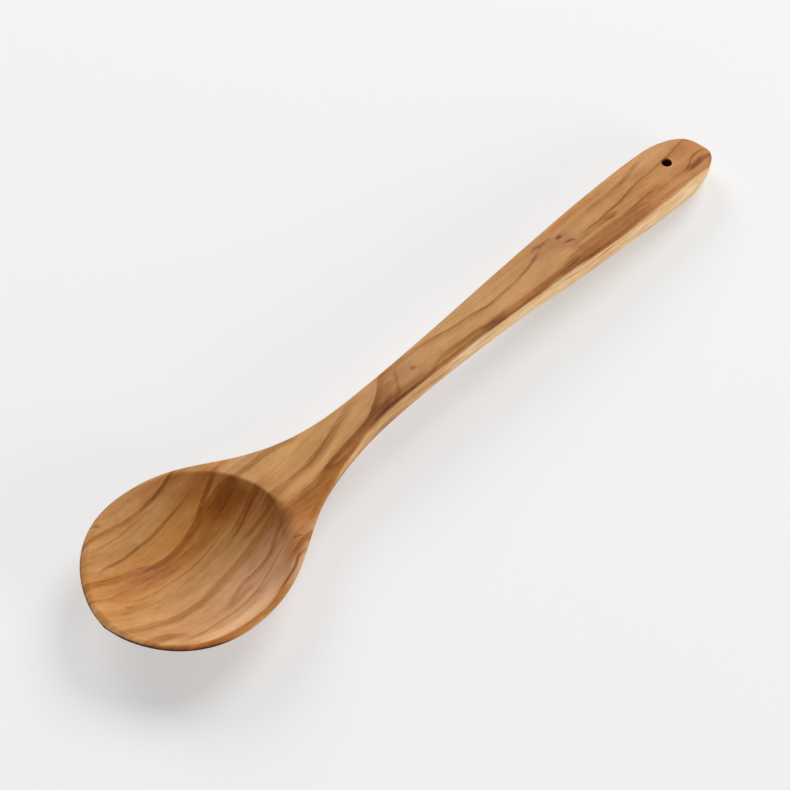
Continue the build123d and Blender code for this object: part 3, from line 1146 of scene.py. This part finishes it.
    Streak("end_brown", 8, 8, 0.09, ((250, 0.3, 0.1), (262, 0.6, 0.35), (275, 0.9, 0.4),
        (285, 1.1, 0.5), (300, 2.4, 0.6)), Tint.RED),
    # Painted shade on the nose's near corner, where the rounded end turns away from the light
    Streak("nose_dark", 2, 2, 0.26, ((291, -7.4, 0), (294, -6.4, 0.8), (297, -4.7, 0.9),
        (299.5, -2.2, 0.6)), Tint.RED),
)

SAPWOOD_STREAKS = (
    Streak("side_line", 0.12, 0.3, 0.45, ((198, -8.66, 0.2), (205, -8.96, 0.8), (212, -9.23, 1),
        (218, -9.33, 1), (224, -9.46, 0.9), (232, -9.78, 0.5), (238, -10.1, 0.2))),
    Streak("side_neck", 3, 3, 0.3, ((112, -8.11, 0.2), (122, -6.81, 0.6), (132, -6.41, 1),
        (146, -6.55, 0.9), (156, -6.83, 0.3), (164, -7.13, 0)), Tint.PLAIN, 0.4),
    Streak("side_patch", 0.2, 0.4, 0.36, ((156, -6.19, 0), (161, -6.37, 1), (165, -6.45, 0.6),
        (168, -6.54, 0))),
    Streak("side_low", 0.12, 0.25, 0.32, ((240, -8.93, 0.2), (250, -9.23, 0.8), (262, -9.61, 1),
        (272, -9.89, 0.6), (280, -9.82, 0.1))),
)

# Where the heartwood ends on the upper surface, by place and side
SAPWOOD_EDGE = (
    (96, -12.6), (106, -9.6), (120, -7.2), (135, -6.6), (150, -6.8), (165, -7.3), (180, -8.0),
    (200, -9.0), (215, -9.5), (230, -10.7), (245, -11.3), (258, -11.3), (268, -10.9), (276, -10.4),
    (284, -9.8), (292, -9.9), (300, -8.0),
)

# Where it ends underneath, on a slant with the grain
SAPWOOD_BELOW = (
    (90, -16.0), (96, -11.6), (102, -9.5), (110, -7.6), (120, -6.3), (135, -5.4), (160, -4.9),
    (200, -3.6), (250, -1.0), (300, 1.5),
)

# The upper surface along the middle, by place and height
TOP_LINE = (
    (0, 19.5), (30, 18.6), (50, 17.0), (65, 16.2), (78, 16.0), (90, 16.3), (106, 17.7), (118, 19.4),
    (132, 20.6), (160, 20.4), (190, 19.9), (220, 18.6), (250, 16.4), (265, 14.7), (280, 12.9),
    (292, 12.2), (300, 12.2),
)


@dataclass(frozen=True)
class Grain:
    """A noise in the wood, drawn out along it, with its size in millimetres.

    Its seed keeps it apart from the others, and fineness says how many times finer it is in
    height than along the wood.
    """

    along: float
    across: float
    seed: float
    weight: float
    detail: float = 2.0
    fineness: float = 1.0


# The first two bend the layers, in millimetres; the last one roughens and smooths the polish
WOBBLE = Grain(24.0, 9.0, 1.3, 1.5)
RIPPLE = Grain(7.0, 2.4, 2.1, 0.6)
BROAD = Grain(80.0, 6.0, 3.7, 0.34)
MIDDLING = Grain(34.0, 1.7, 5.2, 0.26)
FINE = Grain(9.0, 0.45, 7.9, 0.26, detail=3.0)
HAIRS = Grain(3.0, 0.18, 9.4, 0.17)
MOTTLE = Grain(3.2, 1.6, 6.6, 0.20, detail=4.0)
PATCHES = Grain(12.0, 5.0, 12.7, 0.30, detail=3.0)
BLOTCHES = Grain(14.0, 5.0, 14.2, 0.8, detail=3.0, fineness=8.0)
POLISH = Grain(18.0, 6.0, 11.8, 0.10)


class WoodPlaces:
    """Where each point of the surface lies in the wood, in millimetres."""

    # How far the layers lean over for each millimetre of height, and the height that stays put
    LEAN = 0.2
    LEAN_LEVEL = 18.0
    # How wide a band across the spoon the drawn curves can reach
    ACROSS_RANGE = 80.0
    # How far a streak runs on past its ends
    STREAK_FADE = 5.0
    # How steeply streaks add up where they are few, and how soon that levels off
    STREAK_DEPTH = 1.2
    STREAK_CEILING = 1.4

    def __init__(self, g: Graph, sizes: SpoonSizes) -> None:
        """Work out the place along the spoon, to its side, above the table and in the layers.

        Args:
            g: The material's tree.
            sizes: The sizes of the spoon.
        """
        self.graph, self.sizes = g, sizes
        x, y, z = g.parts(g.node("ShaderNodeTexCoord")["Object"])
        self.along, self.side, self.up = x / MM + sizes.spoon_length / 2, y / MM, z / MM
        self.share = self.along / sizes.spoon_length
        self.straight = self.side - self.LEAN * (self.up - self.LEAN_LEVEL)
        self.wobble = self.weighed(WOBBLE, self.straight)
        self.across = self.straight + self.wobble + self.weighed(RIPPLE, self.straight)
        self.below = self.course(TOP_LINE) - self.up

    def noise(self, grain: Grain, across: Wire) -> Wire:
        """Give a noise.

        Args:
            grain: The noise.
            across: The place across the layers.

        Returns:
            The noise, from minus to plus one half or so.
        """
        g = self.graph
        up = self.up / (grain.along / grain.fineness)
        place = g.vector(self.along / grain.along, across / grain.across, up)
        sockets = {"Vector": place, "W": grain.seed, "Scale": 1.0, "Detail": grain.detail}
        return g.node("ShaderNodeTexNoise", {"noise_dimensions": "4D"}, sockets)["Fac"] - 0.5

    def weighed(self, grain: Grain, across: Wire) -> Wire:
        """Give a noise times its weight."""
        return grain.weight * self.noise(grain, across)

    def drawn(self, points: Sequence[Pair], label: str = "") -> Wire:
        """Follow a curve that is drawn through points between zero and one.

        Args:
            points: A place, in millimetres, and a value for each point.
            label: What the curve's node is called.

        Returns:
            The curve's value.
        """
        shares = [(place / self.sizes.spoon_length, value) for place, value in points]
        settings = {"points": shares, "label": label}
        sockets = {"Factor": 1.0, "Value": self.share}
        return self.graph.node("ShaderNodeFloatCurve", settings, sockets)["Value"]

    def scaled(self, value: Term) -> Term:
        """Bring millimetres across the spoon between zero and one, as a drawn curve needs them."""
        return value / self.ACROSS_RANGE + 0.5

    def course(self, points: Sequence[Pair]) -> Wire:
        """Follow a drawn line's place across the spoon, in millimetres."""
        curve = self.drawn([(place, self.scaled(value)) for place, value in points])
        return (curve - 0.5) * self.ACROSS_RANGE

    def mask(self, layer: Wire, streak: Streak) -> Wire:
        """Give how strongly a streak shows at each point.

        Args:
            layer: The place across the layers, scaled as the drawn curves are.
            streak: The streak.

        Returns:
            Zero where it doesn't show, up to one.
        """
        g = self.graph
        first, last = streak.points[0][0], streak.points[-1][0]
        course = [(place, self.scaled(value)) for place, value, _ in streak.points]
        strengths = [(place, strength) for place, _, strength in streak.points]
        strengths.insert(0, (max(first - self.STREAK_FADE, 0.0), 0.0))
        strengths.append((last + self.STREAK_FADE, 0.0))
        distance = layer - self.drawn(course, streak.name)
        above, below = self.ACROSS_RANGE / streak.above, -self.ACROSS_RANGE / streak.below
        away = g.most(distance * above, distance * below)
        return g.eased(away, streak.solid, 1.0, 1.0, 0.0) * self.drawn(strengths, streak.name)

    def layers(self, streaks: Sequence[Streak]) -> tuple[Wire, dict[Tint, Wire]]:
        """Add up how far the streaks darken the wood, less and less where several meet.

        Args:
            streaks: The streaks.

        Returns:
            What they add to the tone, and how strongly each tint shows.
        """
        shade: Term = 0.0
        tints: dict[Tint, Term] = {tint: 0.0 for tint in Tint if tint is not Tint.PLAIN}
        layer = self.scaled(self.across)
        for streak in streaks:
            shown = self.mask(layer, streak)
            shade = shade + streak.tone * shown
            if streak.tint in tints:
                tints[streak.tint] = self.graph.most(tints[streak.tint], shown)
        return self.STREAK_DEPTH * shade / (1 + self.STREAK_CEILING * shade), tints

    def within(self, *limits: tuple[Wire, Pair]) -> Wire:
        """Give one where every value has passed its span, eased from zero.

        Args:
            limits: Each value, with where it begins to count and where it counts in full.

        Returns:
            The product of the eased values.
        """
        shown: Term = 1.0
        for value, span in limits:
            shown = shown * self.graph.eased(value, *span)
        return shown


@dataclass(frozen=True)
class PaintedLipShade:
    """Painted shade on the bowl's outside under the rim at the tip, and a little on the rim there.
    """

    wall_tone: float = 0.6
    wall_out: Pair = (0.90, 0.95)
    wall_below: Pair = (0.1, 0.5)
    wall_up: Pair = (8.0, 14.0)
    wall_along: Pair = (34.0, 18.0)
    wall_side: Pair = (20.0, 6.0)
    rim_tone: float = 0.10
    rim_out: Pair = (0.76, 0.84)
    rim_below: Pair = (0.9, 0.3)
    rim_along: Pair = (34.0, 14.0)

    def shade(self, at: WoodPlaces) -> Wire:
        """Give what it adds to the tone.

        Args:
            at: The places in the wood.

        Returns:
            The added tone.
        """
        middle, half_width = at.sizes.bowl_middle, at.sizes.bowl_width / 2
        out = ((at.along - middle) / middle) ** 2.0 + (at.side / half_width) ** 2.0
        # Painted shade: the outer wall under the tip's rim, which lies in shadow, and the
        # upward-facing rim land
        wall = at.within(
            (out, self.wall_out), (at.below, self.wall_below), (at.up, self.wall_up),
            (at.along, self.wall_along), (at.side, self.wall_side),
        )
        rim = at.within(
            (out, self.rim_out), (at.below, self.rim_below), (at.along, self.rim_along)
        )
        return self.wall_tone * wall + self.rim_tone * rim


@dataclass(frozen=True)
class PaintedHeelShade:
    """Painted shade on the hollow's back wall, darkest up to its crisp far edge."""

    tone: float = 0.06
    below: Pair = (0.1, 0.8)
    up: Pair = (5.0, 9.0)
    along: Pair = (54.0, 70.0)
    near_side: Pair = (-12.0, 6.0)
    far_side: Pair = (19.0, 14.0)

    def shown(self, at: WoodPlaces) -> Wire:
        """Give how strongly it shows.

        Args:
            at: The places in the wood.

        Returns:
            Zero away from the heel, up to one.
        """
        return at.within(
            (at.below, self.below), (at.up, self.up), (at.along, self.along),
            (at.side, self.near_side), (at.side, self.far_side),
        )


@dataclass(frozen=True)
class PaleSapwood:
    """The pale young wood that the near side of the handle runs out into."""

    tones: tuple[tuple[float, Colour], ...] = (
        (0.15, linear(237, 207, 165)),
        (0.42, linear(220, 181, 132)),
        (0.70, linear(194, 145, 91)),
        (1.00, linear(150, 98, 48)),
    )
    blotch_warmth: float = 0.4
    blotch_span: Pair = (0.0, 0.2)
    neck_warmth: float = 0.6
    neck_span: Pair = (128.0, 104.0)
    line_wobble: float = 0.8
    line_fade: Pair = (0.5, -0.6)
    line_start: Pair = (98.0, 112.0)
    face_wobble: float = 0.3
    face_below: Pair = (0.7, 1.5)
    slant_wobble: float = 0.6
    slant_fade: Pair = (0.6, -0.8)
    face_start: Pair = (93.0, 99.0)
    face_end: Pair = (297.0, 291.0)

    def share(self, at: WoodPlaces) -> Wire:
        """Give where it shows.

        Args:
            at: The places in the wood.

        Returns:
            Zero in the heartwood, up to one.
        """
        line = at.side + self.line_wobble * at.wobble - at.course(SAPWOOD_EDGE)
        slant = at.side + self.slant_wobble * at.wobble - at.course(SAPWOOD_BELOW)
        below = at.below + self.face_wobble * at.wobble
        beyond_line = at.within((line, self.line_fade), (at.along, self.line_start))
        side_face = at.within(
            (below, self.face_below), (slant, self.slant_fade),
            (at.along, self.face_end), (at.along, self.face_start),
        )
        return at.graph.most(beyond_line, side_face)

    def colour(self, at: WoodPlaces, tone: Wire) -> Wire:
        """Give its colour.

        Args:
            at: The places in the wood.
            tone: The tone of the wood's plain grain.

        Returns:
            The colour, warmer in its darker blotches and near the bowl.
        """
        g = at.graph
        shade, _ = at.layers(SAPWOOD_STREAKS)
        blotches = at.noise(BLOTCHES, at.side)
        pale = tone + shade + BLOTCHES.weight * blotches
        colour = g.node("ShaderNodeValToRGB", {"stops": self.tones}, {"Fac": pale})["Color"]
        warm = self.blotch_warmth * g.eased(blotches, *self.blotch_span)
        colour = g.blend(warm, colour, Tint.ORANGE.value, "MULTIPLY")
        warm = self.neck_warmth * g.eased(at.along, *self.neck_span)
        return g.blend(warm, colour, Tint.ORANGE.value, "MULTIPLY")


@dataclass(frozen=True)
class HangingHole:
    """Painted shade on the hanging hole's wall, and a painted highlight on one side of its rim."""

    wall_tone: float = 0.55
    wall_out: Pair = (0.25, 0.05)
    wall_up: Pair = (12.2, 11.2)
    worn_tone: float = 0.32
    worn_out: Pair = (0.9, 0.35)
    worn_in: Pair = (-0.05, 0.2)
    worn_side: Pair = (0.6, 2.4)

    def shade(self, at: WoodPlaces) -> Wire:
        """Give what it adds to the tone.

        Args:
            at: The places in the wood.

        Returns:
            The added tone.
        """
        sizes = at.sizes
        lengthwise = at.along - (sizes.spoon_length - sizes.hole_inset)
        crosswise = at.side - sizes.hole_offset
        out = at.graph.root(lengthwise ** 2.0 + crosswise ** 2.0) - sizes.hole_diameter / 2
        # Painted shade darkens the bore's wall, and a painted highlight lightens one side of its
        # rim
        wall = at.within((out, self.wall_out), (at.up, self.wall_up))
        worn = at.within(
            (out, self.worn_out), (out, self.worn_in), (lengthwise - crosswise, self.worn_side)
        )
        return self.wall_tone * wall - self.worn_tone * worn


@dataclass(frozen=True)
class OliveWood:
    """Oiled olive wood: near-upright layers that run along the spoon, with listed streaks."""

    sizes: SpoonSizes
    name: str = "oiled_olive_wood"
    tones: tuple[tuple[float, Colour], ...] = (
        (0.00, linear(222, 176, 122)),
        (0.25, linear(206, 157, 104)),
        (0.45, linear(188, 137, 84)),
        (0.65, linear(164, 109, 54)),
        (0.85, linear(131, 77, 30)),
        (1.00, linear(84, 43, 14)),
    )
    base_tone: float = 0.41
    roughness: float = 0.50
    grain_roughness: float = 0.12
    shine: float = 0.14
    relief: float = 0.00012
    relief_strength: float = 0.5
    hair_relief: float = 0.6
    # Painted shade under the rim at the tip
    lip: PaintedLipShade = PaintedLipShade()
    # Painted shade on the hollow's heel wall
    heel: PaintedHeelShade = PaintedHeelShade()
    # Painted shade in the hanging hole, and a painted highlight on its rim
    hole: HangingHole = HangingHole()
    sapwood: PaleSapwood = PaleSapwood()

    def heartwood(self, at: WoodPlaces, tone: Wire) -> Wire:
        """Give the colour of the heartwood.

        Args:
            at: The places in the wood.
            tone: The tone of the wood's plain grain.

        Returns:
            The colour, with its streaks, its tints, and its painted shade and highlight.
        """
        g = at.graph
        shade, tints = at.layers(STREAKS)
        # Painted shade on the heel wall, darkened and reddened
        heel = self.heel.shown(at)
        tints[Tint.RED] = g.most(tints[Tint.RED], heel)
        # The hole, the lip and the heel add painted shade, and the hole's rim a painted highlight
        tone = tone + shade + self.hole.shade(at) + self.lip.shade(at) + self.heel.tone * heel
        colour = g.node("ShaderNodeValToRGB", {"stops": self.tones}, {"Fac": tone})["Color"]
        for tint, amount in tints.items():
            colour = g.blend(amount, colour, tint.value, "MULTIPLY")
        return colour

    def make(self) -> bpy.types.Material:
        """Build the material.

        Returns:
            The material.
        """
        material = bpy.data.materials.new(self.name)
        material.use_nodes = True
        g = Graph(material.node_tree)
        at = WoodPlaces(g, self.sizes)
        fine, hairs = at.noise(FINE, at.across), at.noise(HAIRS, at.across)
        tone = self.base_tone + at.weighed(BROAD, at.across) + at.weighed(MIDDLING, at.across)
        tone = tone + FINE.weight * fine + HAIRS.weight * hairs
        tone = tone + at.weighed(MOTTLE, at.across) + at.weighed(PATCHES, at.straight)
        sapwood = self.sapwood.colour(at, tone)
        colour = g.blend(self.sapwood.share(at), self.heartwood(at, tone), sapwood)

        polish = at.weighed(POLISH, at.across)
        bump = g.node("ShaderNodeBump", None, {
            "Strength": self.relief_strength, "Distance": self.relief,
            "Height": fine + self.hair_relief * hairs,
        })["Normal"]
        shader = g.node("ShaderNodeBsdfPrincipled", None, {
            "Base Color": colour, "Normal": bump, "Specular IOR Level": self.shine,
            "Roughness": self.roughness + self.grain_roughness * fine + polish,
        })["BSDF"]
        g.node("ShaderNodeOutputMaterial", None, {"Surface": shader})
        return material


@dataclass
class Spoon:
    """The one-piece spoon."""

    sizes: SpoonSizes
    wood: OliveWood

    def build(self) -> bpy.types.Object:
        """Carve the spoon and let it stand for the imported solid.

        Returns:
            The spoon.
        """
        piece = SpoonForm(self.sizes, self.wood.make()).grow("carved_spoon")
        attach(piece, "root")
        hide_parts("spoon")
        return piece


@dataclass(frozen=True)
class SoftLamp:
    """A round soft lamp that faces the spoon, placed by its bearing from +X and its height."""

    name: str
    bearing: float
    elevation: float
    power: float
    distance: float = 4.0
    width: float = 2.4

    def place(self) -> Vector:
        """Give the lamp's place.

        Returns:
            The place, in metres.
        """
        turn, lift = math.radians(self.bearing), math.radians(self.elevation)
        level = self.distance * math.cos(lift)
        rise = self.distance * math.sin(lift)
        return Vector((level * math.cos(turn), level * math.sin(turn), rise))


@dataclass
class Studio:
    """Floor, lamps and camera, none of them part of the spoon."""

    camera_place: tuple[float, float, float] = (-0.450556, -0.441675, 0.901067)
    lens: float = 141.26
    sensor_width: float = 36.0
    shift: tuple[float, float] = (-0.0340, -0.0018)
    floor_size: float = 8.0
    floor_drop: float = 0.0002
    floor_colour: Colour = linear(246, 246, 246)
    floor_paleness: float = 0.5
    paleness: Colour = linear(243, 243, 243)
    room_light: float = 0.12
    lamps: tuple[SoftLamp, ...] = (
        SoftLamp("key_behind_handle", bearing=8.0, elevation=42.0, power=112.0),
        SoftLamp("key_behind_bowl", bearing=72.0, elevation=33.0, power=84.0),
        SoftLamp("front_fill", bearing=280.0, elevation=14.0, power=92.0),
    )

    def build(self) -> None:
        """Set up the whole studio."""
        self.add_camera()
        self.add_floor()
        self.add_lamps()

    def add_camera(self) -> None:
        """Look at the spoon as the photograph does."""
        data = bpy.data.cameras.new("camera")
        data.lens = self.lens
        data.sensor_width = self.sensor_width
        data.shift_x, data.shift_y = self.shift
        camera = bpy.data.objects.new("camera", data)
        camera.location = self.camera_place
        camera.rotation_euler = (-Vector(self.camera_place)).to_track_quat("-Z", "Y").to_euler()
        bpy.context.scene.collection.objects.link(camera)
        bpy.context.scene.camera = camera

    def add_floor(self) -> None:
        """Lay a plain pale floor under the spoon."""
        half = self.floor_size / 2
        level = cad_box[0][2] - self.floor_drop
        mesh = bpy.data.meshes.new("studio_floor")
        turns = ((-half, -half), (half, -half), (half, half), (-half, half))
        mesh.from_pydata([(x, y, level) for x, y in turns], [], [(0, 1, 2, 3)])
        floor = bpy.data.objects.new("studio_floor", mesh)
        bpy.context.scene.collection.objects.link(floor)
        material = bpy.data.materials.new("pale_floor")
        material.use_nodes = True
        g = Graph(material.node_tree)
        lit = g.node("ShaderNodeBsdfDiffuse", None, {"Color": self.floor_colour})["BSDF"]
        sockets = {"Color": self.paleness, "Strength": 1.0}
        white = g.node("ShaderNodeEmission", None, sockets)["Emission"]
        path = g.node("ShaderNodeLightPath")
        mirrored = g.most(path["Is Glossy Ray"], path["Is Transmission Ray"])
        share = self.floor_paleness * g.most(path["Is Camera Ray"], mirrored)
        shader = g.node("ShaderNodeMixShader", None, {0: share, 1: lit, 2: white})[0]
        g.node("ShaderNodeOutputMaterial", None, {"Surface": shader})
        mesh.materials.append(material)

    def add_lamps(self) -> None:
        """Hang the soft lamps, and fill the rest with the room's faint light."""
        for lamp in self.lamps:
            data = bpy.data.lights.new(lamp.name, "AREA")
            data.shape = "DISK"
            data.size = lamp.width
            data.energy = lamp.power
            hung = bpy.data.objects.new(lamp.name, data)
            hung.location = lamp.place()
            hung.rotation_euler = (-hung.location).to_track_quat("-Z", "Y").to_euler()
            bpy.context.scene.collection.objects.link(hung)
        world = bpy.data.worlds.new("pale_room")
        world.use_nodes = True
        bpy.context.scene.world = world
        g = Graph(world.node_tree)
        sockets = {"Color": (1.0, 1.0, 1.0, 1.0), "Strength": self.room_light}
        room = g.node("ShaderNodeBackground", None, sockets)["Background"]
        g.node("ShaderNodeOutputWorld", None, {"Surface": room})


def main() -> None:
    """Build the spoon and its studio, and report each piece."""
    logging.basicConfig(level=logging.INFO)
    bpy.context.scene.view_settings.view_transform = "Standard"
    sizes = SpoonSizes()
    piece = Spoon(sizes, OliveWood(sizes)).build()
    log.info("%s: %d faces", piece.name, len(piece.data.polygons))
    Studio().build()
    log.info("studio: camera, floor and lamps")


if __name__ == "__main__":
    main()
